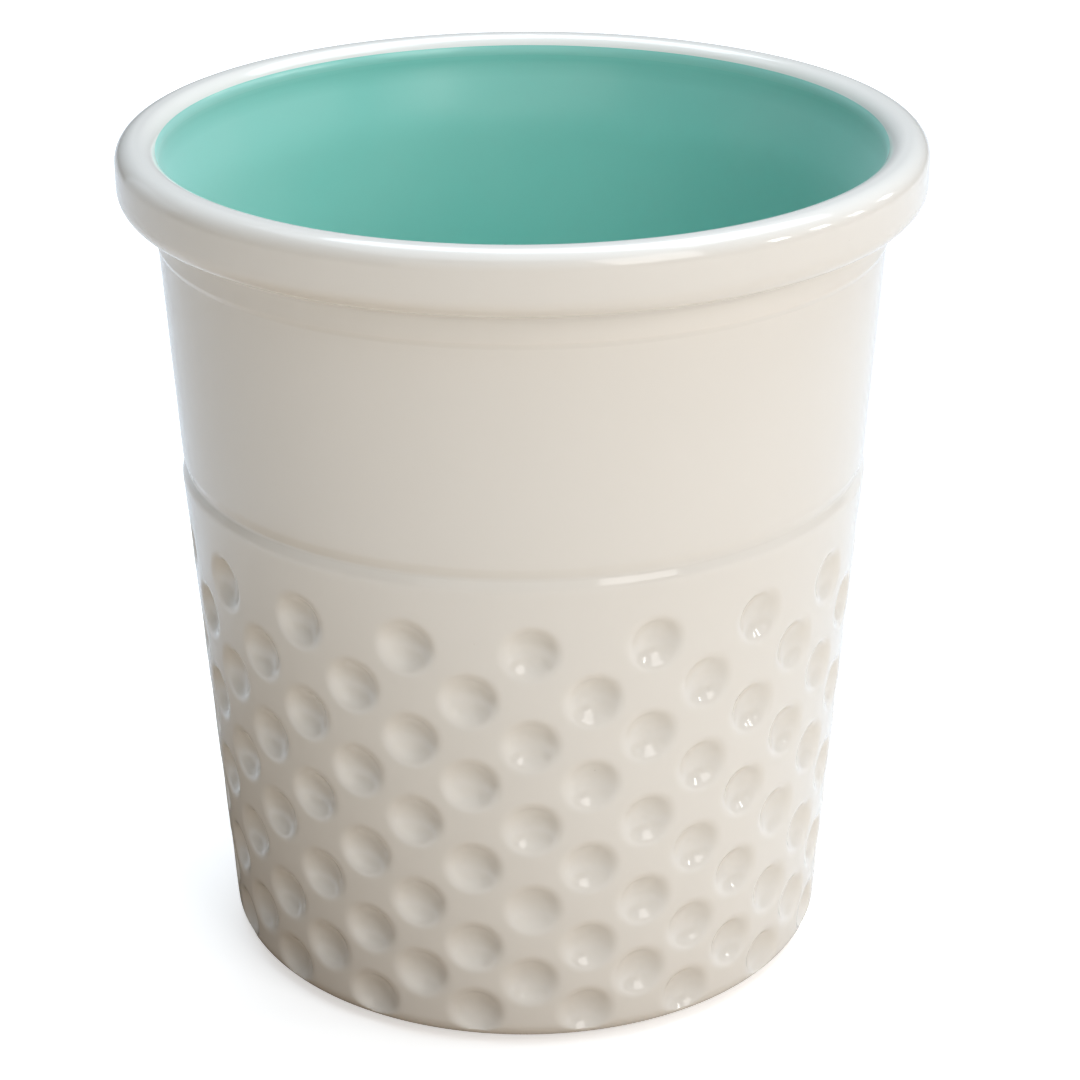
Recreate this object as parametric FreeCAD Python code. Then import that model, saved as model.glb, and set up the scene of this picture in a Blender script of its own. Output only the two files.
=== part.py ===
import FreeCAD, Part
import math
import os

# Yarn bowl in the shape of a giant thimble: one slip-cast stoneware vessel that carries three
# separate glaze coats. Millimetres, +Z up. The origin is the centre of the foot, on the table.
# The vessel is a closed half section turned about the axis, with dimples pressed in from outside.

# Overall size
RIM_RADIUS = 76.0
HEIGHT = 164.0
WALL = 4.8
GLAZE = 0.4

# Rolled rim
ROLL_WIDTH = 8.1
ROLL_HEIGHT = 12.3
LIP_ROUNDING = 3.6
UNDER_ROLL_ROUNDING = 4.4
COLOUR_LINE_RADIUS = 68.4

# Neck: a cove under the roll, then a low collar with a rounded lower edge
NECK_RADIUS = 69.2
COVE_ROUNDING = 2.3
COLLAR_DEPTH = 18.2
COLLAR_ROUNDING = 1.2
BAND_TOP_RADIUS = 68.8
BAND_TOP_DEPTH = 19.2

# Mid groove between the smooth band and the dimpled wall
BAND_FOOT_RADIUS = 66.3
BAND_FOOT_DEPTH = 61.2
BAND_FOOT_ROUNDING = 5.0
GROOVE_RADIUS = 65.6
GROOVE_DEPTH = 63.4
GROOVE_ROUNDING = 1.2
SHOULDER_RADIUS = 66.5
SHOULDER_DEPTH = 65.4
SHOULDER_ROUNDING = 3.0

# Foot: a dry clay ring around a shallow glazed recess
WALL_FOOT_RADIUS = 59.4
FOOT_ROUNDING = 4.6
RING_OUTER_RADIUS = 54.0
RING_WIDTH = 5.0
RING_HEIGHT = 0.7
RING_EDGE = 0.35
RECESS_HEIGHT = 2.0
FLOOR_THICKNESS = 6.0

# Cavity
LIP_FOOT_DEPTH = 5.0
LIP_FOOT_ROUNDING = 10.0
INNER_NECK_RADIUS = 64.9
INNER_NECK_DEPTH = 17.0
INNER_NECK_ROUNDING = 40.0
FLOOR_ROUNDING = 11.0

# Dimples: staggered rows, evenly spaced except for the first gap and the last two
DIMPLES_PER_ROW = 18
DIMPLE_DIAMETER = 11.6
DIMPLE_DEPTH = 2.2
FIRST_ROW_DEPTH = 78.0
ROW_GAPS = [10.2] + [8.9] * 6 + [7.5] * 2
COLUMN_PITCH = 360.0 / DIMPLES_PER_ROW
ROW_STAGGER = 0.5
FRONT = -90.0
STAMP_RADIUS = 6.2
STAMP_SPARE = 1.5

AXIS_START = FreeCAD.Vector(0, 0, 0)
UP = FreeCAD.Vector(0, 0, 1)


class Corner:
    """A corner of a half section: its place, its rounding and the glaze on the edge that leaves it."""

    def __init__(self, radius, height, rounding=0.0, glaze=GLAZE):
        self.radius = radius
        self.height = height
        self.rounding = rounding
        self.glaze = glaze


def point(radius, height):
    """A point of the half section, drawn in the XZ plane."""
    return FreeCAD.Vector(radius, 0, height)


def wall_radius(height):
    """Outer radius of the straight dimpled wall at a height above the foot."""
    shoulder = HEIGHT - SHOULDER_DEPTH
    slope = (SHOULDER_RADIUS - WALL_FOOT_RADIUS) / (shoulder - RING_HEIGHT)
    return WALL_FOOT_RADIUS + slope * (height - RING_HEIGHT)


def outer_corners():
    """Outside of the vessel, from the top of the lip down to the dry ring."""
    return [
        Corner(RIM_RADIUS, HEIGHT, LIP_ROUNDING),
        Corner(RIM_RADIUS, HEIGHT - ROLL_HEIGHT, UNDER_ROLL_ROUNDING),
        Corner(NECK_RADIUS, HEIGHT - ROLL_HEIGHT, COVE_ROUNDING),
        Corner(NECK_RADIUS, HEIGHT - COLLAR_DEPTH, COLLAR_ROUNDING),
        Corner(BAND_TOP_RADIUS, HEIGHT - BAND_TOP_DEPTH, COLLAR_ROUNDING),
        Corner(BAND_FOOT_RADIUS, HEIGHT - BAND_FOOT_DEPTH, BAND_FOOT_ROUNDING),
        Corner(GROOVE_RADIUS, HEIGHT - GROOVE_DEPTH, GROOVE_ROUNDING),
        Corner(SHOULDER_RADIUS, HEIGHT - SHOULDER_DEPTH, SHOULDER_ROUNDING),
        Corner(WALL_FOOT_RADIUS, RING_HEIGHT, FOOT_ROUNDING),
    ]


def foot_corners():
    """Dry ring and the recess inside it; the ring carries no glaze."""
    ring_inner = RING_OUTER_RADIUS - RING_WIDTH
    return [
        Corner(RING_OUTER_RADIUS, RING_HEIGHT, 0.0, 0.0),
        Corner(RING_OUTER_RADIUS, 0.0, RING_EDGE, 0.0),
        Corner(ring_inner, 0.0, RING_EDGE, 0.0),
        Corner(ring_inner, RECESS_HEIGHT),
        Corner(0.0, RECESS_HEIGHT, 0.0, 0.0),
    ]


def cavity_corners():
    """Inside of the vessel, from the middle of the floor up to the lip."""
    floor = RECESS_HEIGHT + FLOOR_THICKNESS
    roll_inner = RIM_RADIUS - ROLL_WIDTH
    return [
        Corner(0.0, floor),
        Corner(wall_radius(floor) - WALL, floor, FLOOR_ROUNDING),
        Corner(INNER_NECK_RADIUS, HEIGHT - INNER_NECK_DEPTH, INNER_NECK_ROUNDING),
        Corner(roll_inner, HEIGHT - LIP_FOOT_DEPTH, LIP_FOOT_ROUNDING),
        Corner(roll_inner, HEIGHT, LIP_ROUNDING),
    ]


def vessel_corners():
    """The whole closed half section: up the cavity, over the lip, down the outside and back in."""
    return cavity_corners() + outer_corners() + foot_corners()


def direction(start, end):
    """Unit vector along the edge from one corner to the next."""
    return point(end.radius - start.radius, end.height - start.height).normalize()


def bend(along_before, along_after):
    """How sharply an outline turns at a corner: positive to the left, negative to the right."""
    return along_before.x * along_after.z - along_before.z * along_after.x


def under_glaze(corners):
    """The same closed outline with every edge moved into the clay by the glaze it carries."""
    moved = []
    for index, corner in enumerate(corners):
        before = corners[index - 1]
        after = corners[(index + 1) % len(corners)]
        along_before = direction(before, corner)
        along_after = direction(corner, after)
        bending = bend(along_before, along_after)
        # The clay is on the right of the outline.
        into_clay = point(along_before.z, -along_before.x)
        slide = (corner.glaze - before.glaze * along_before.dot(along_after)) / bending
        place = point(corner.radius, corner.height) + into_clay * before.glaze + along_before * slide
        growth = math.copysign(min(before.glaze, corner.glaze), bending)
        rounding = corner.rounding + growth if corner.rounding else 0.0
        moved.append(Corner(place.x, place.z, rounding, 0.0))
    return moved


def section_face(corners):
    """Flat face inside a closed outline whose corners are rounded by tangent arcs."""
    edges = []
    arcs = []
    for index, corner in enumerate(corners):
        along_before = direction(corners[index - 1], corner)
        along_after = direction(corner, corners[(index + 1) % len(corners)])
        half_turn = along_before.getAngle(along_after) / 2
        place = point(corner.radius, corner.height)
        reach = corner.rounding * math.tan(half_turn)
        inward = (along_after - along_before).normalize()
        middle = place + inward * corner.rounding * (1 / math.cos(half_turn) - 1)
        arcs.append((place - along_before * reach, middle, place + along_after * reach))
    for index, (arc_start, arc_middle, arc_end) in enumerate(arcs):
        edges.append(Part.LineSegment(arcs[index - 1][2], arc_start).toShape())
        if corners[index].rounding:
            edges.append(Part.Arc(arc_start, arc_middle, arc_end).toShape())
    return Part.Face(Part.Wire(edges))


def cavity_zone():
    """Face that covers the cavity side of the half section, cut off square at the colour line."""
    floor_middle = RECESS_HEIGHT + FLOOR_THICKNESS / 2
    wall_middle = WALL / 2
    arc_centre = point(RIM_RADIUS - ROLL_WIDTH + LIP_ROUNDING, HEIGHT - LIP_ROUNDING)
    reach_in = arc_centre.x - COLOUR_LINE_RADIUS
    reach_up = math.sqrt(LIP_ROUNDING ** 2 - reach_in ** 2)
    far_end = arc_centre + point(-reach_in, reach_up) * 2
    places = [
        point(0, floor_middle),
        point(wall_radius(floor_middle) - wall_middle - FLOOR_ROUNDING / 2, floor_middle),
        point(wall_radius(FLOOR_ROUNDING) - wall_middle, FLOOR_ROUNDING),
        point(INNER_NECK_RADIUS + wall_middle, HEIGHT - INNER_NECK_DEPTH),
        arc_centre,
        far_end,
        point(0, far_end.z),
    ]
    return Part.Face(Part.makePolygon(places + places[:1]))


def turned(face):
    """Solid of revolution, with its seam turned to run between the dimples of both staggers."""
    solid = face.revolve(AXIS_START, UP, 360)
    solid.rotate(AXIS_START, UP, FRONT + COLUMN_PITCH * ROW_STAGGER / 2)
    return solid


def dimple_rows():
    """Height above the foot of each row of dimples, and its stagger in columns."""
    depth = FIRST_ROW_DEPTH
    rows = [(HEIGHT - depth, 0.0)]
    for gap in ROW_GAPS:
        depth += gap
        rows.append((HEIGHT - depth, ROW_STAGGER - rows[-1][1]))
    return rows


def dimple_stamp(growth):
    """Blunt end of a ball that presses a dimple at the origin from the +X side, grown all round."""
    ball_radius = (DIMPLE_DIAMETER ** 2 / 4 + DIMPLE_DEPTH ** 2) / (2 * DIMPLE_DEPTH)
    ball = Part.makeSphere(ball_radius + growth, point(ball_radius - DIMPLE_DEPTH, 0))
    tip = point(-DIMPLE_DEPTH - STAMP_SPARE, 0)
    plug = Part.makeCylinder(STAMP_RADIUS, DIMPLE_DEPTH + 2 * STAMP_SPARE, tip, point(1, 0))
    return ball.common(plug)


def dimple_stamps(growth):
    """A stamp in every place of the staggered rows, square to the leaning wall."""
    lean = math.degrees(math.atan(wall_radius(1.0) - wall_radius(0.0)))
    stamps = []
    for height, stagger in dimple_rows():
        row_stamp = dimple_stamp(growth)
        row_stamp.rotate(AXIS_START, FreeCAD.Vector(0, 1, 0), lean)
        row_stamp.translate(point(wall_radius(height), height))
        for column in range(DIMPLES_PER_ROW):
            stamp = row_stamp.copy()
            stamp.rotate(AXIS_START, UP, FRONT + (column + stagger) * COLUMN_PITCH)
            # Exact ball-and-cone crossings get lost on this wall, which is nearly a cylinder.
            # A free-form copy of the ball, made in its final place, cuts every dimple.
            stamps.append(stamp.toNurbs())
    return stamps


def half_section_faces():
    """Faces of the clay, the outer coat, the cavity lining and the glaze under the floor."""
    corners = vessel_corners()
    clay = section_face(under_glaze(corners))
    coats = section_face(corners).cut(clay)
    coat_faces = sorted(coats.Faces, key=lambda face: face.BoundBox.ZLength)
    base, sides = coat_faces[0], coat_faces[-1]
    lining = sides.common(cavity_zone()).Faces[0]
    outside = sides.cut(cavity_zone()).Faces[0]
    return clay, outside, lining, base


def save(name, shape):
    """Check that a sub-part is one valid solid and write its STEP file."""
    solids = shape.Solids
    if len(solids) != 1 or not solids[0].isValid():
        raise ValueError(name + " is not one valid solid")
    solids[0].exportStep(os.path.join("parts", name + ".step"))


def main():
    os.makedirs("parts", exist_ok=True)
    clay_face, outside_face, lining_face, base_face = half_section_faces()
    plain_clay = turned(clay_face)
    clay_stamps = dimple_stamps(GLAZE)
    clay_body = plain_clay.cut(clay_stamps)
    # The coat lines every dimple, so it first gains the clay that the stamps remove.
    pressed_clay = plain_clay.common(Part.makeCompound(clay_stamps))
    outer_glaze = turned(outside_face).fuse(pressed_clay.Solids).cut(dimple_stamps(0.0))
    save("clay_body", clay_body)
    save("outer_glaze", outer_glaze)
    save("inner_glaze", turned(lining_face))
    save("base_glaze", turned(base_face))


main()
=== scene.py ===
import math
from collections import namedtuple

import bpy
import numpy as np
from mathutils import Matrix, Vector


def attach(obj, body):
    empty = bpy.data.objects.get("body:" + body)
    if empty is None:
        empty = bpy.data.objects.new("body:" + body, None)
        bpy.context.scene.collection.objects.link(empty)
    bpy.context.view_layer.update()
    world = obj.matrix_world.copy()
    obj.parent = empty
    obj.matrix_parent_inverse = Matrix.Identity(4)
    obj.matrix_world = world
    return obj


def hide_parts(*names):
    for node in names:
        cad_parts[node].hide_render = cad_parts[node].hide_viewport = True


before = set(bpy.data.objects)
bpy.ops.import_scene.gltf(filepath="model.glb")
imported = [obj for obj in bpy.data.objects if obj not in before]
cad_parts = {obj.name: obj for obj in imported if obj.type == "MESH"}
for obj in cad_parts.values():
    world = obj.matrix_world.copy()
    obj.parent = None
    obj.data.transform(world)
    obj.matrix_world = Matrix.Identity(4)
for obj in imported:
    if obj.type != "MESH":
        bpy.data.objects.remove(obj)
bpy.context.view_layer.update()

# Yarn bowl shaped like a giant thimble: glazed stoneware, white outside, aqua inside.
# The outline is in millimetres, as (radius from the axis, height above the table).
# Each piece is a closed outline turned about the axis, with the dimples pressed into it.

MM = 0.001

# ---------------------------------------------------------------- sizes of the vessel, mm
RIM_RADIUS = 76.0
HEIGHT = 164.0
WALL = 4.8
GLAZE = 0.4

ROLL_WIDTH = 8.1
ROLL_INNER_RADIUS = RIM_RADIUS - ROLL_WIDTH
ROLL_HEIGHT = 12.3
LIP_ROUNDING = 3.6
UNDER_ROLL_ROUNDING = 4.4
COLOUR_LINE_RADIUS = 68.4

NECK_RADIUS = 69.2
COVE_ROUNDING = 2.3
COLLAR_DEPTH = 18.2
COLLAR_ROUNDING = 1.2
BAND_TOP_RADIUS = 68.8
BAND_TOP_DEPTH = 19.2

BAND_FOOT_RADIUS = 66.3
BAND_FOOT_DEPTH = 61.2
BAND_FOOT_ROUNDING = 5.0
GROOVE_RADIUS = 65.6
GROOVE_DEPTH = 63.4
GROOVE_ROUNDING = 1.2
SHOULDER_RADIUS = 66.5
SHOULDER_DEPTH = 65.4
SHOULDER_ROUNDING = 3.0

WALL_FOOT_RADIUS = 59.4
FOOT_ROUNDING = 4.6
RING_OUTER_RADIUS = 54.0
RING_WIDTH = 5.0
RING_INNER_RADIUS = RING_OUTER_RADIUS - RING_WIDTH
RING_HEIGHT = 0.7
RING_EDGE = 0.35
RECESS_HEIGHT = 2.0
BASE_CLAY_HEIGHT = RECESS_HEIGHT + GLAZE
FLOOR_THICKNESS = 6.0
FLOOR_HEIGHT = RECESS_HEIGHT + FLOOR_THICKNESS

LIP_FOOT_DEPTH = 5.0
LIP_FOOT_ROUNDING = 10.0
INNER_NECK_RADIUS = 64.9
INNER_NECK_DEPTH = 17.0
INNER_NECK_ROUNDING = 40.0
FLOOR_ROUNDING = 11.0

# Dimples: a round bowl whose edge is softened by a small lip. The first column faces the front,
# which is -Y, and each row is turned by half a column from the one above it.
DIMPLES_PER_ROW = 18
FRONT_ANGLE = -math.pi / 2
STAGGER = 0.5
DIMPLE_DIAMETER = 12.5
DIMPLE_DEPTH = 2.3
DIMPLE_LIP = 3.0
FIRST_ROW_DEPTH = 78.0
ROW_GAPS = [10.2] + [8.9] * 6 + [7.5] * 2

# ---------------------------------------------------------------- mesh fineness
# Steps along the outline are in mm: fine ones where it runs inward below the shoulder, as the
# dimpled wall does, and coarse ones elsewhere. A step on an arc also turns by no more than ARC_STEP,
# in radians. The hidden clay side of a coat takes every second point.
COLUMNS = 720
FINE_STEP = 0.55
COARSE_STEP = 3.0
ARC_STEP = 0.09
HIDDEN_STRIDE = 2
SHARP_ANGLE = math.radians(40.0)

# Hand-made unevenness of the dimples: spread of their places in mm and share of their depth
SEED = 11
DIMPLE_SHIFT = 0.15
DIMPLE_VARIATION = 0.05

# ---------------------------------------------------------------- looks
GLAZE_IOR = 1.5
WHITE_ROUGHNESS = (0.05, 0.09)
AQUA_ROUGHNESS = (0.20, 0.28)
CLAY_ROUGHNESS = (0.80, 0.95)

# Noise: features per metre, how many finer layers lie on top of them and how strong those are
Noise = namedtuple("Noise", "scale detail roughness", defaults=[0.5])
WAVES = Noise(45.0, 1.0)
ORANGE_PEEL = Noise(420.0, 1.0)
GLOSS_PATCHES = Noise(60.0, 2.0)
WHITE_PATCHES = Noise(18.0, 3.0)
AQUA_PATCHES = Noise(26.0, 2.0)
CLAY_PATCHES = Noise(90.0, 5.0)
CLAY_GRAINS = Noise(1800.0, 3.0, 0.6)

# The noise values between which patches wander, grains turn sandy and grains change the gloss
PATCH_SPAN = (0.1, 0.9)
SAND_SPAN = (0.45, 0.7)
SAND_SHARE = 0.5
GRAIN_SPAN = (0.3, 0.7)

# Relief in metres
WAVE_DEPTH = 0.00010
PEEL_DEPTH = 0.000006
PINHOLE_DEPTH = 0.00005
CLAY_GRAIN_DEPTH = 0.00012

# A "pool" value says how thick the glaze lies: the bend of the outline in 1/mm, positive where
# it's hollow, plus the share of a dimple's depth. The colour changes between a first and a last
# pool value, by up to a share.
PoolChange = namedtuple("PoolChange", "first last share")
WHITE_THICK = PoolChange(0.1, 1.2, 0.6)
WHITE_WORN = PoolChange(-0.15, -1.2, 0.5)
AQUA_THICK = PoolChange(0.02, 0.12, 0.7)
AQUA_WORN = PoolChange(-0.1, -0.3, 0.2)

# Small round spots: metres between them, share of them shown, size in metres and strength
Spots = namedtuple("Spots", "spacing share size strength")
WHITE_SPOTS = Spots(0.011, 0.10, 0.00028, 0.35)
AQUA_SPOTS = Spots(0.012, 0.05, 0.00014, 0.30)
GROG_SPOTS = Spots(0.0022, 0.25, 0.00035, 0.70)

BLACK = (0.0, 0.0, 0.0, 1.0)
WHITE_WARM = (0.818, 0.788, 0.738, 1.0)
WHITE_COOL = (0.838, 0.812, 0.768, 1.0)
WHITE_POOL = (0.788, 0.762, 0.715, 1.0)
WHITE_THIN = (0.822, 0.780, 0.720, 1.0)
SPECK = (0.42, 0.33, 0.25, 1.0)
AQUA_LIGHT = (0.320, 0.690, 0.610, 1.0)
AQUA_DEEP = (0.235, 0.655, 0.575, 1.0)
AQUA_POOL = (0.215, 0.600, 0.520, 1.0)
AQUA_THIN = (0.540, 0.810, 0.760, 1.0)
AQUA_HAZE = 0.35
AQUA_HAZE_SPREAD = 0.60
CLAY_LIGHT = (0.560, 0.440, 0.330, 1.0)
CLAY_DARK = (0.470, 0.355, 0.255, 1.0)
CLAY_GRAIN = (0.640, 0.540, 0.430, 1.0)
CLAY_GROG = (0.200, 0.130, 0.090, 1.0)

# ---------------------------------------------------------------- studio, in metres
FLOOR_SIZE = 8.0
FLOOR_GAP = 0.0002
PAPER = (0.90, 0.90, 0.90, 1.0)
PAPER_GLOW = (0.50, 0.50, 0.50, 1.0)
# Painted bounce light: the floor glows this warm colour for bounced rays only, lighting the bowl though
# it is no lamp
PAPER_BOUNCE_GLOW = (0.08, 0.06, 0.04, 1.0)

# Painted shade: the floor's colour for bounced and reflected rays is darker near a point at the bowl's
# left, where its shadow falls, than further off
PAINTED_SHADE_PLACE = (-0.09, -0.02, 0.0)
NEAR_REACH = 0.05
FAR_REACH = 0.17
NEAR_BOUNCE = (0.25, 0.18, 0.12, 1.0)
FAR_BOUNCE = (0.77, 0.69, 0.60, 1.0)
NEAR_SHINE = (0.30, 0.24, 0.18, 1.0)
FAR_SHINE = (0.96, 0.97, 0.99, 1.0)

# Lights: degrees to the right of the front, degrees above the floor, then metres
Panel = namedtuple("Panel", "name azimuth elevation distance width height brightness colour")
DAYLIGHT = (1.0, 0.97, 0.95)
WARM_WALL = (1.0, 0.97, 0.90)
BLUE_SKY = (0.80, 0.90, 1.0)
PANELS = [
    Panel("window", 36.0, 32.0, 1.6, 0.70, 0.95, 3.35, DAYLIGHT),
    Panel("bright_front_pane", 72.0, 20.0, 1.5, 0.15, 0.24, 13.0, DAYLIGHT),
    Panel("bright_back_pane", 87.0, 20.0, 1.5, 0.15, 0.24, 13.0, DAYLIGHT),
    Panel("far_front_pane", 102.0, 18.0, 1.5, 0.13, 0.22, 6.5, DAYLIGHT),
    Panel("far_back_pane", 118.0, 18.0, 1.5, 0.13, 0.22, 6.5, DAYLIGHT),
    Panel("cool_left", -125.0, 8.0, 1.6, 0.8, 1.0, 0.6, BLUE_SKY),
    Panel("front_fill", 0.0, 18.0, 1.8, 2.4, 1.3, 0.76, WARM_WALL),
    Panel("ceiling", 0.0, 90.0, 1.5, 2.0, 2.0, 1.18, BLUE_SKY),
    Panel("sky_behind", 150.0, 64.0, 1.6, 1.8, 1.0, 3.5, BLUE_SKY),
]
LIGHT_TARGET = Vector((0.0, 0.0, 0.1))
ROOM_COLOUR = (1.0, 0.98, 0.96, 1.0)
ROOM_BRIGHTNESS = 0.05

# Camera: sensor and lens in mm, its azimuth round the bowl in degrees, its turns in radians
SENSOR_WIDTH = 36.0
LENS = 100.2
LENS_SHIFT = (0.0407, 0.0366)
CAMERA_AZIMUTH = -90.98
CAMERA_REACH = 0.5472
CAMERA_HEIGHT = 0.3182
CAMERA_PITCH = 0.424
CAMERA_YAW = 0.0069
CAMERA_ROLL = -0.0092


# ---------------------------------------------------------------- outlines
# A stretch of an outline: a straight line, or an arc about a centre
Run = namedtuple("Run", "start end centre", defaults=[None])


def wall_radius(height):
    """Outer radius of the straight dimpled wall at a height above the table."""
    shoulder = HEIGHT - SHOULDER_DEPTH
    slope = (SHOULDER_RADIUS - WALL_FOOT_RADIUS) / (shoulder - RING_HEIGHT)
    return WALL_FOOT_RADIUS + slope * (height - RING_HEIGHT)


def unit(vector):
    """The same direction with length one."""
    return vector / np.linalg.norm(vector)


def rounded_path(corners):
    """Straight runs and tangent arcs through corners, each given as (radius, height, rounding)."""
    places = [np.array(corner[:2]) for corner in corners]
    runs = []
    last = places[0]
    for before, place, after, corner in zip(places, places[1:], places[2:], corners[1:]):
        rounding = corner[2]
        along_before = unit(place - before)
        along_after = unit(after - place)
        half_turn = math.acos(np.clip(along_before @ along_after, -1.0, 1.0)) / 2
        reach = rounding * math.tan(half_turn)
        arc_start = place - along_before * reach
        arc_end = place + along_after * reach
        runs.append(Run(last, arc_start))
        if rounding:
            centre = place + unit(along_after - along_before) * rounding / math.cos(half_turn)
            runs.append(Run(arc_start, arc_end, centre))
        last = arc_end
    runs.append(Run(last, places[-1]))
    return runs


def sample_line(run, step):
    """Points, directions and bends of a straight run, without its last point."""
    count = max(1, math.ceil(np.linalg.norm(run.end - run.start) / step))
    share = np.arange(count)[:, None] / count
    points = run.start + (run.end - run.start) * share
    tangents = np.repeat([unit(run.end - run.start)], count, axis=0)
    return points, tangents, np.zeros(count)


def sample_arc(run, step):
    """Points, directions and bends of an arc, without its last point."""
    radius = np.linalg.norm(run.start - run.centre)
    first = math.atan2(*(run.start - run.centre)[::-1])
    sweep = math.atan2(*(run.end - run.centre)[::-1]) - first
    sweep = (sweep + math.pi) % (2 * math.pi) - math.pi
    count = max(2, math.ceil(abs(sweep) * radius / step), math.ceil(abs(sweep) / ARC_STEP))
    angles = first + sweep * np.arange(count) / count
    points = run.centre + np.stack([np.cos(angles), np.sin(angles)], axis=1) * radius
    tangents = np.stack([-np.sin(angles), np.cos(angles)], axis=1) * math.copysign(1.0, sweep)
    return points, tangents, np.full(count, math.copysign(1 / radius, sweep))


def sample_runs(runs):
    """Points, directions of travel and bends along a chain of runs, with its last point."""
    samples = []
    for run in runs:
        runs_inward = run.start[0] > run.end[0]
        below_shoulder = run.start[1] < HEIGHT - SHOULDER_DEPTH + SHOULDER_ROUNDING
        step = FINE_STEP if runs_inward and below_shoulder else COARSE_STEP
        sample = sample_line if run.centre is None else sample_arc
        samples.append(sample(run, step))
    last_tangent = samples[-1][1][-1:]
    samples.append((runs[-1].end[None, :], last_tangent, np.zeros(1)))
    return [np.concatenate(part) for part in zip(*samples)]


def skin_runs():
    """The glazed skin from the middle of the floor, up the cavity and over the lip to the ring.

    The clay is always on the right of the way along it.
    """
    return rounded_path([
        (0.0, FLOOR_HEIGHT, 0.0),
        (wall_radius(FLOOR_HEIGHT) - WALL, FLOOR_HEIGHT, FLOOR_ROUNDING),
        (INNER_NECK_RADIUS, HEIGHT - INNER_NECK_DEPTH, INNER_NECK_ROUNDING),
        (ROLL_INNER_RADIUS, HEIGHT - LIP_FOOT_DEPTH, LIP_FOOT_ROUNDING),
        (ROLL_INNER_RADIUS, HEIGHT, LIP_ROUNDING),
        (RIM_RADIUS, HEIGHT, LIP_ROUNDING),
        (RIM_RADIUS, HEIGHT - ROLL_HEIGHT, UNDER_ROLL_ROUNDING),
        (NECK_RADIUS, HEIGHT - ROLL_HEIGHT, COVE_ROUNDING),
        (NECK_RADIUS, HEIGHT - COLLAR_DEPTH, COLLAR_ROUNDING),
        (BAND_TOP_RADIUS, HEIGHT - BAND_TOP_DEPTH, COLLAR_ROUNDING),
        (BAND_FOOT_RADIUS, HEIGHT - BAND_FOOT_DEPTH, BAND_FOOT_ROUNDING),
        (GROOVE_RADIUS, HEIGHT - GROOVE_DEPTH, GROOVE_ROUNDING),
        (SHOULDER_RADIUS, HEIGHT - SHOULDER_DEPTH, SHOULDER_ROUNDING),
        (WALL_FOOT_RADIUS, RING_HEIGHT, FOOT_ROUNDING),
        (RING_OUTER_RADIUS, RING_HEIGHT, 0.0),
    ])


def split_at_colour_line(runs):
    """Runs of the aqua lining and runs of the white coat, which meet on the lip's inner side."""
    lip_centre = np.array([ROLL_INNER_RADIUS + LIP_ROUNDING, HEIGHT - LIP_ROUNDING])
    lip = next(
        order for order, run in enumerate(runs)
        if run.centre is not None and np.allclose(run.centre, lip_centre)
    )
    reach_in = lip_centre[0] - COLOUR_LINE_RADIUS
    reach_up = math.sqrt(LIP_ROUNDING ** 2 - reach_in ** 2)
    colour_line = lip_centre + [-reach_in, reach_up]
    lining = runs[:lip] + [Run(runs[lip].start, colour_line, lip_centre)]
    coat = [Run(colour_line, runs[lip].end, lip_centre)] + runs[lip + 1:]
    return lining, coat


# ---------------------------------------------------------------- dimples
def dimple_rows():
    """Height above the table of each row of dimples, and its stagger in columns."""
    depth = FIRST_ROW_DEPTH
    rows = [(HEIGHT - depth, 0.0)]
    for gap in ROW_GAPS:
        depth += gap
        rows.append((HEIGHT - depth, STAGGER - rows[-1][1]))
    return rows


def dimple_hollow(distance):
    """Depth of a dimple at a distance from its middle: a round bowl with a rounded lip."""
    edge = DIMPLE_DIAMETER / 2
    steepest = 2 * math.atan(DIMPLE_DEPTH / edge)
    bowl = DIMPLE_DEPTH / (1 - math.cos(steepest)) - DIMPLE_LIP
    in_bowl = np.minimum(distance, bowl * math.sin(steepest))
    in_lip = np.clip(edge - distance, 0.0, DIMPLE_LIP * math.sin(steepest))
    bowl_depth = DIMPLE_DEPTH - bowl + np.sqrt(bowl ** 2 - in_bowl ** 2)
    lip_depth = DIMPLE_LIP - np.sqrt(DIMPLE_LIP ** 2 - in_lip ** 2)
    return np.where(distance < bowl * math.sin(steepest), bowl_depth, lip_depth)


def pressed_depth(points, angles):
    """How far the dimples push in each point of an outline, at each angle round the axis."""
    lean = math.atan(wall_radius(1.0) - wall_radius(0.0))
    up_wall = np.array([math.sin(lean), math.cos(lean)])
    out_of_wall = np.array([math.cos(lean), -math.sin(lean)])
    pitch = 2 * math.pi / DIMPLES_PER_ROW
    shaky = np.random.default_rng(SEED)
    depth = np.zeros((len(points), len(angles)))
    for height, stagger in dimple_rows():
        shift = shaky.normal(0.0, DIMPLE_SHIFT, (2, DIMPLES_PER_ROW))
        strength = 1 + shaky.normal(0.0, DIMPLE_VARIATION, DIMPLES_PER_ROW)
        row_place = np.array([wall_radius(height), height])
        along = (points - row_place) @ up_wall
        outward = (points - row_place) @ out_of_wall
        turn = (angles - FRONT_ANGLE) / pitch - stagger
        nearest = np.round(turn)
        column = nearest.astype(int) % DIMPLES_PER_ROW
        across = (turn - nearest) * pitch * row_place[0] - shift[0, column]
        distance = np.hypot(across[None, :], along[:, None] - shift[1, column][None, :])
        hollow = dimple_hollow(distance) * strength[column]
        push = np.where(distance < DIMPLE_DIAMETER / 2, outward[:, None] + hollow, 0.0)
        depth = np.maximum(depth, push)
    return depth, out_of_wall


# ---------------------------------------------------------------- meshes
def column_angles():
    """Angle round the axis of each column of the meshes."""
    return np.arange(COLUMNS) * 2 * math.pi / COLUMNS


def rings_from(sections):
    """Rings of 3-D places in metres from section points in every column."""
    angles = column_angles()
    radius = sections[..., 0]
    height = sections[..., 1]
    return np.stack([radius * np.cos(angles), radius * np.sin(angles), height], axis=-1) * MM


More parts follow.
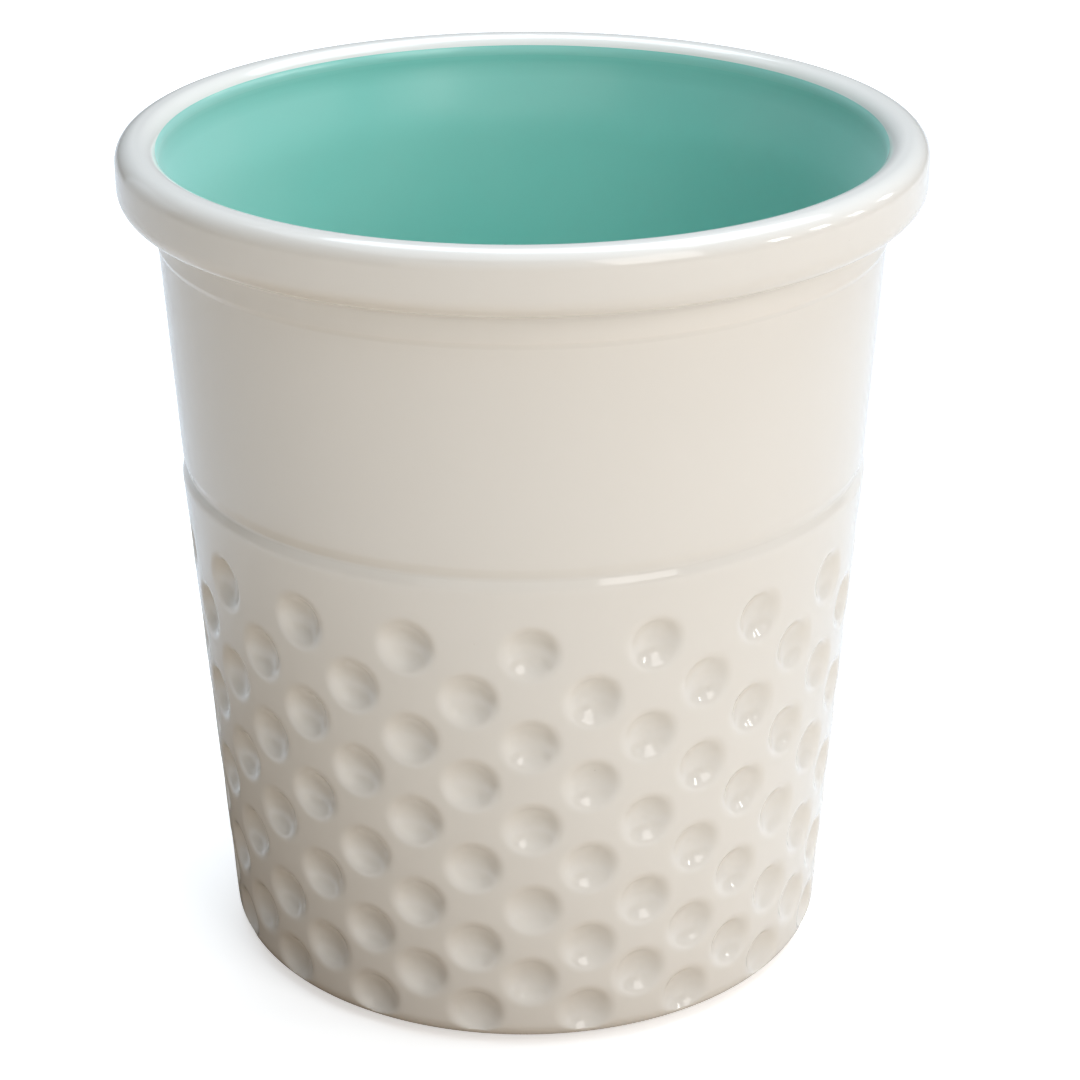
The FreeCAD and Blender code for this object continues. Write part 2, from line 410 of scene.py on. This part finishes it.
def skin(runs, dimpled):
    """Outer and clay-side section points of a glaze coat in every column, and its pool values."""
    points, tangents, bends = sample_runs(runs)
    air_side = np.stack([-tangents[:, 1], tangents[:, 0]], axis=1)
    sections = np.repeat(points[:, None, :], COLUMNS, axis=1)
    pool = np.repeat(bends[:, None], COLUMNS, axis=1)
    if dimpled:
        depth, out_of_wall = pressed_depth(points, column_angles())
        sections = sections - depth[..., None] * out_of_wall
        pool = pool + depth / DIMPLE_DEPTH
    under = sections - air_side[:, None, :] * GLAZE
    kept = sorted(set(range(0, len(points), HIDDEN_STRIDE)) | {len(points) - 1})
    return sections, under[kept], pool


def ring_faces(count, has_poles):
    """Quads between neighbouring rings, which close in a loop or end in a fan round each pole."""
    ring = np.arange(count - 1 if has_poles else count)[:, None]
    column = np.arange(COLUMNS)[None, :]
    next_ring = (ring + 1) % count
    next_column = (column + 1) % COLUMNS
    quads = np.stack([
        ring * COLUMNS + column,
        next_ring * COLUMNS + column,
        next_ring * COLUMNS + next_column,
        ring * COLUMNS + next_column,
    ], axis=-1).reshape(-1, 4).tolist()
    if not has_poles:
        return quads
    around = np.arange(COLUMNS)
    after = (around + 1) % COLUMNS
    last = (count - 1) * COLUMNS
    first_pole = np.full(COLUMNS, count * COLUMNS)
    first_fan = np.stack([first_pole, around, after], axis=-1).tolist()
    last_fan = np.stack([last + around, first_pole + 1, last + after], axis=-1).tolist()
    return quads + first_fan + last_fan


def turned_piece(name, sections, material, pool=None):
    """Closed mesh from section points in every column; it's a ring, or it ends at the axis."""
    has_poles = np.allclose(sections[0, ..., 0], 0.0)
    rings = rings_from(sections)
    poles = rings[:0, 0]
    if has_poles:
        poles = rings[[0, -1], 0]
        rings = rings[1:-1]
    places = np.concatenate([rings.reshape(-1, 3), poles])
    mesh = bpy.data.meshes.new(name)
    mesh.from_pydata(places, [], ring_faces(len(rings), has_poles))
    mesh.polygons.foreach_set("use_smooth", np.ones(len(mesh.polygons), dtype=bool))
    mesh.set_sharp_from_angle(angle=SHARP_ANGLE)
    if pool is not None:
        values = np.zeros(len(places), dtype=np.float32)
        shown = pool[1:] if has_poles else pool
        values[:shown.size] = shown.ravel()
        mesh.attributes.new("pool", "FLOAT", "POINT").data.foreach_set("value", values)
    mesh.materials.append(material)
    piece = bpy.data.objects.new(name, mesh)
    bpy.context.scene.collection.objects.link(piece)
    return piece


def place_piece(piece, node):
    """Let a piece stand for a CAD node: hang it under the root and hide the node."""
    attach(piece, "root")
    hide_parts(node)


def in_every_column(corners):
    """Section points of a rounded outline, the same in every column."""
    points = sample_runs(rounded_path(corners))[0]
    return np.repeat(points[:, None, :], COLUMNS, axis=1)


# ---------------------------------------------------------------- pieces of the bowl
def build_lining(runs, aqua_glaze):
    """The aqua coat inside; returns the section points of its clay side."""
    lining, under, pool = skin(runs, dimpled=False)
    loop = np.concatenate([lining, under[::-1]])
    place_piece(turned_piece("aqua_lining", loop, aqua_glaze, pool), "inner_glaze")
    return under


def build_coat(runs, white_glaze):
    """The dimpled white coat outside; returns the section points of its clay side."""
    coat, under, pool = skin(runs, dimpled=True)
    loop = np.concatenate([coat, under[::-1]])
    place_piece(turned_piece("white_coat", loop, white_glaze, pool), "outer_glaze")
    return under


def build_body(lining_under, coat_under, clay):
    """The fired clay between the two coats, with its bare foot ring and its recess."""
    foot = in_every_column([
        (RING_OUTER_RADIUS, RING_HEIGHT + GLAZE, 0.0),
        (RING_OUTER_RADIUS, 0.0, RING_EDGE),
        (RING_INNER_RADIUS, 0.0, RING_EDGE),
        (RING_INNER_RADIUS, BASE_CLAY_HEIGHT, 0.0),
        (0.0, BASE_CLAY_HEIGHT, 0.0),
    ])
    loop = np.concatenate([lining_under, coat_under, foot[1:]])
    place_piece(turned_piece("stoneware_body", loop, clay), "clay_body")


def build_base_coat(white_glaze):
    """The round white coat in the recess under the floor."""
    base = in_every_column([
        (0.0, BASE_CLAY_HEIGHT, 0.0),
        (RING_INNER_RADIUS, BASE_CLAY_HEIGHT, 0.0),
        (RING_INNER_RADIUS, RECESS_HEIGHT, 0.0),
        (0.0, RECESS_HEIGHT, 0.0),
    ])
    place_piece(turned_piece("base_coat", base, white_glaze), "base_glaze")


def build_vessel(clay, white_glaze, aqua_glaze):
    """The four pieces of the bowl: two coats, the clay between them and the glaze underneath."""
    lining_runs, coat_runs = split_at_colour_line(skin_runs())
    lining_under = build_lining(lining_runs, aqua_glaze)
    coat_under = build_coat(coat_runs, white_glaze)
    build_body(lining_under, coat_under, clay)
    build_base_coat(white_glaze)


# ---------------------------------------------------------------- materials
# The colour sockets of Blender's mix node go by number, because other kinds share their names
MIX_FACTOR = 0
MIX_FIRST = 6
MIX_SECOND = 7
MIX_RESULT = 2


class Shader:
    """A small helper that adds linked nodes to one material."""

    def __init__(self, name):
        self.material = bpy.data.materials.new(name)
        self.material.use_nodes = True
        self.tree = self.material.node_tree
        self.surface = self.tree.nodes["Principled BSDF"]
        self.place = self.add("ShaderNodeTexCoord").outputs["Object"]

    def add(self, kind, inputs=None, **settings):
        """A new node with its settings and its inputs, which are values or other outputs."""
        node = self.tree.nodes.new(kind)
        for key, value in settings.items():
            setattr(node, key, value)
        for key, value in (inputs or {}).items():
            self.feed(node.inputs[key], value)
        return node

    def feed(self, socket, value):
        """Give a socket a value or link another output to it."""
        if isinstance(value, bpy.types.NodeSocket):
            self.tree.links.new(value, socket)
        else:
            socket.default_value = value

    def noise(self, pattern):
        """Smooth noise between about 0 and 1."""
        inputs = {
            "Vector": self.place,
            "Scale": pattern.scale,
            "Detail": pattern.detail,
            "Roughness": pattern.roughness,
        }
        return self.add("ShaderNodeTexNoise", inputs).outputs["Fac"]

    def remap(self, value, low, high, to_low, to_high):
        """Stretch one range of values to another, and clip what's outside."""
        inputs = {"Value": value, "From Min": low, "From Max": high, "To Min": to_low, "To Max": to_high}
        return self.add("ShaderNodeMapRange", inputs).outputs["Result"]

    def patches(self, pattern, low=0.0, high=1.0):
        """Values that wander between a low and a high one, in soft patches."""
        return self.remap(self.noise(pattern), *PATCH_SPAN, low, high)

    def mix(self, factor, first, second):
        """Colour between two colours."""
        inputs = {MIX_FACTOR: factor, MIX_FIRST: first, MIX_SECOND: second}
        return self.add("ShaderNodeMix", inputs, data_type="RGBA").outputs[MIX_RESULT]

    def math(self, operation, first, second=0.0):
        """One arithmetic step."""
        return self.add("ShaderNodeMath", {0: first, 1: second}, operation=operation).outputs[0]

    def bump(self, height, depth, below=None):
        """Surface relief from a height between 0 and 1 times a depth in metres."""
        inputs = {"Height": height, "Distance": depth, "Strength": 1.0}
        if below is not None:
            inputs["Normal"] = below
        return self.add("ShaderNodeBump", inputs).outputs["Normal"]


def spots_mask(shader, spots):
    """1 inside a few small round spots that are scattered over the surface, 0 elsewhere."""
    cell = shader.add("ShaderNodeTexVoronoi", {"Vector": shader.place, "Scale": 1 / spots.spacing})
    chosen = shader.add("ShaderNodeSeparateColor", {"Color": cell.outputs["Color"]}).outputs[0]
    edge = spots.size / spots.spacing
    near = shader.remap(cell.outputs["Distance"], edge / 2, edge, 1.0, 0.0)
    return shader.math("MULTIPLY", near, shader.math("LESS_THAN", chosen, spots.share))


def spotted(shader, mask, strength, body, spot_colour):
    """The body colour with its spots in a second colour."""
    return shader.mix(shader.math("MULTIPLY", mask, strength), body, spot_colour)


def changed_by_pool(shader, body, change, colour):
    """The body colour, changed where the glaze is thick (or thin) enough."""
    pool = shader.add("ShaderNodeAttribute", attribute_name="pool").outputs["Fac"]
    return shader.mix(shader.remap(pool, change.first, change.last, 0.0, change.share), body, colour)


def glaze_relief(shader, pinholes):
    """Slow waves of a poured coat, fine orange peel and a few pinholes."""
    waves = shader.bump(shader.noise(WAVES), WAVE_DEPTH)
    peel = shader.bump(shader.noise(ORANGE_PEEL), PEEL_DEPTH, waves)
    return shader.bump(shader.math("SUBTRACT", 1.0, pinholes), PINHOLE_DEPTH, peel)


def finish_glaze(shader, colour, roughness, pinholes):
    """Give a glaze its colour, its gloss and its relief."""
    gloss = shader.patches(GLOSS_PATCHES, *roughness)
    shader.feed(shader.surface.inputs["Base Color"], colour)
    shader.feed(shader.surface.inputs["Roughness"], gloss)
    shader.feed(shader.surface.inputs["IOR"], GLAZE_IOR)
    shader.feed(shader.surface.inputs["Normal"], glaze_relief(shader, pinholes))


def make_white_glaze():
    """Glossy warm white glaze: a little deeper where it pools, thinner on sharp edges."""
    shader = Shader("white_glaze")
    body = shader.mix(shader.patches(WHITE_PATCHES), WHITE_WARM, WHITE_COOL)
    pooled = changed_by_pool(shader, body, WHITE_THICK, WHITE_POOL)
    thinned = changed_by_pool(shader, pooled, WHITE_WORN, WHITE_THIN)
    pinholes = spots_mask(shader, WHITE_SPOTS)
    colour = spotted(shader, pinholes, WHITE_SPOTS.strength, thinned, SPECK)
    finish_glaze(shader, colour, WHITE_ROUGHNESS, pinholes)
    return shader.material


def make_aqua_glaze():
    """Glossy aqua glaze: paler where it thins at the lip, deeper where it pools on the floor."""
    shader = Shader("aqua_glaze")
    body = shader.mix(shader.patches(AQUA_PATCHES), AQUA_LIGHT, AQUA_DEEP)
    pooled = changed_by_pool(shader, body, AQUA_THICK, AQUA_POOL)
    thinned = changed_by_pool(shader, pooled, AQUA_WORN, AQUA_THIN)
    pinholes = spots_mask(shader, AQUA_SPOTS)
    colour = spotted(shader, pinholes, AQUA_SPOTS.strength, thinned, AQUA_POOL)
    finish_glaze(shader, colour, AQUA_ROUGHNESS, pinholes)
    shader.feed(shader.surface.inputs["Sheen Weight"], AQUA_HAZE)
    shader.feed(shader.surface.inputs["Sheen Roughness"], AQUA_HAZE_SPREAD)
    return shader.material


def make_clay():
    """Dry fired stoneware: buff, sandy and matt, with a few dark grog specks."""
    shader = Shader("clay")
    body = shader.mix(shader.patches(CLAY_PATCHES), CLAY_LIGHT, CLAY_DARK)
    grains = shader.noise(CLAY_GRAINS)
    sandy = shader.mix(shader.remap(grains, *SAND_SPAN, 0.0, SAND_SHARE), body, CLAY_GRAIN)
    grog = spots_mask(shader, GROG_SPOTS)
    colour = spotted(shader, grog, GROG_SPOTS.strength, sandy, CLAY_GROG)
    shader.feed(shader.surface.inputs["Base Color"], colour)
    gloss = shader.remap(grains, *GRAIN_SPAN, *CLAY_ROUGHNESS)
    shader.feed(shader.surface.inputs["Roughness"], gloss)
    shader.feed(shader.surface.inputs["Normal"], shader.bump(grains, CLAY_GRAIN_DEPTH))
    return shader.material


# ---------------------------------------------------------------- floor, light and camera
def make_paper():
    """White paper for the camera, which gives less and warmer light to the bowl, through a tan colour, a
    painted warm glow and a painted shade at the bowl's left.
    """
    shader = Shader("paper")
    rays = shader.add("ShaderNodeLightPath").outputs
    place = shader.add("ShaderNodeNewGeometry").outputs["Position"]
    # Painted shade: bounced and reflected rays see a darker floor near a point at the bowl's left
    reach = shader.add("ShaderNodeVectorMath", {0: place, 1: PAINTED_SHADE_PLACE}, operation="DISTANCE")
    farness = shader.remap(reach.outputs["Value"], NEAR_REACH, FAR_REACH, 0.0, 1.0)
    bounce = shader.mix(farness, NEAR_BOUNCE, FAR_BOUNCE)
    shine = shader.mix(farness, NEAR_SHINE, FAR_SHINE)
    lit = shader.mix(rays["Is Diffuse Ray"], PAPER, bounce)
    shader.feed(shader.surface.inputs["Base Color"], shader.mix(rays["Is Glossy Ray"], lit, shine))
    shader.feed(shader.surface.inputs["Roughness"], 1.0)
    shader.feed(shader.surface.inputs["Specular IOR Level"], 0.0)
    glow = shader.mix(rays["Is Camera Ray"], BLACK, PAPER_GLOW)
    # Painted bounce light: bounced rays see the floor glow warm
    glow = shader.mix(rays["Is Diffuse Ray"], glow, PAPER_BOUNCE_GLOW)
    shader.feed(shader.surface.inputs["Emission Color"], glow)
    shader.feed(shader.surface.inputs["Emission Strength"], 1.0)
    return shader.material


def build_floor():
    """Plain pale floor that reads as white paper around a soft contact shadow."""
    bpy.ops.mesh.primitive_plane_add(size=FLOOR_SIZE, location=(0.0, 0.0, -FLOOR_GAP))
    floor = bpy.context.object
    floor.name = "floor"
    floor.data.materials.append(make_paper())


def direction_from_bowl(azimuth, elevation):
    """Unit vector at an angle to the right of the front and one above the floor, in degrees."""
    turn = math.radians(azimuth) + FRONT_ANGLE
    lift = math.radians(elevation)
    around = Vector((math.cos(turn), math.sin(turn), 0.0)) * math.cos(lift)
    return around + Vector((0.0, 0.0, math.sin(lift)))


def add_panel(panel):
    """Rectangular light that faces the bowl; its brightness is the value of its surface."""
    light = bpy.data.lights.new(panel.name, "AREA")
    light.shape = "RECTANGLE"
    light.size = panel.width
    light.size_y = panel.height
    light.energy = panel.brightness * math.pi * panel.width * panel.height
    light.color = panel.colour
    holder = bpy.data.objects.new(panel.name, light)
    toward_panel = direction_from_bowl(panel.azimuth, panel.elevation)
    holder.location = LIGHT_TARGET + toward_panel * panel.distance
    holder.rotation_euler = toward_panel.to_track_quat("Z", "Y").to_euler()
    bpy.context.scene.collection.objects.link(holder)


def build_lights():
    """A window at the right front, bright panes, soft fills, a cool sky and a dim room."""
    for panel in PANELS:
        add_panel(panel)
    room = bpy.data.worlds.new("room")
    room.use_nodes = True
    backdrop = room.node_tree.nodes["Background"]
    backdrop.inputs["Color"].default_value = ROOM_COLOUR
    backdrop.inputs["Strength"].default_value = ROOM_BRIGHTNESS
    bpy.context.scene.world = room


def camera_pose():
    """Place of the camera and the way it's turned, as one matrix."""
    turn = math.radians(CAMERA_AZIMUTH)
    place = Vector((math.cos(turn), math.sin(turn), 0.0)) * CAMERA_REACH
    place.z = CAMERA_HEIGHT
    forward = Vector((
        math.sin(CAMERA_YAW) * math.cos(CAMERA_PITCH),
        math.cos(CAMERA_YAW) * math.cos(CAMERA_PITCH),
        -math.sin(CAMERA_PITCH),
    ))
    level = Vector((math.cos(CAMERA_YAW), -math.sin(CAMERA_YAW), 0.0))
    right = level * math.cos(CAMERA_ROLL) + level.cross(forward) * math.sin(CAMERA_ROLL)
    up = right.cross(forward)
    pose = Matrix((right, up, -forward)).transposed().to_4x4()
    pose.translation = place
    return pose


def build_camera():
    """Camera at the photograph's viewing angle, with a shifted lens instead of a crop."""
    camera = bpy.data.cameras.new("camera")
    camera.sensor_width = SENSOR_WIDTH
    camera.lens = LENS
    camera.shift_x = LENS_SHIFT[0]
    camera.shift_y = LENS_SHIFT[1]
    photographer = bpy.data.objects.new("camera", camera)
    photographer.matrix_world = camera_pose()
    bpy.context.scene.collection.objects.link(photographer)
    bpy.context.scene.camera = photographer


build_vessel(make_clay(), make_white_glaze(), make_aqua_glaze())
build_floor()
build_lights()
build_camera()
bpy.context.scene.view_settings.view_transform = "Standard"
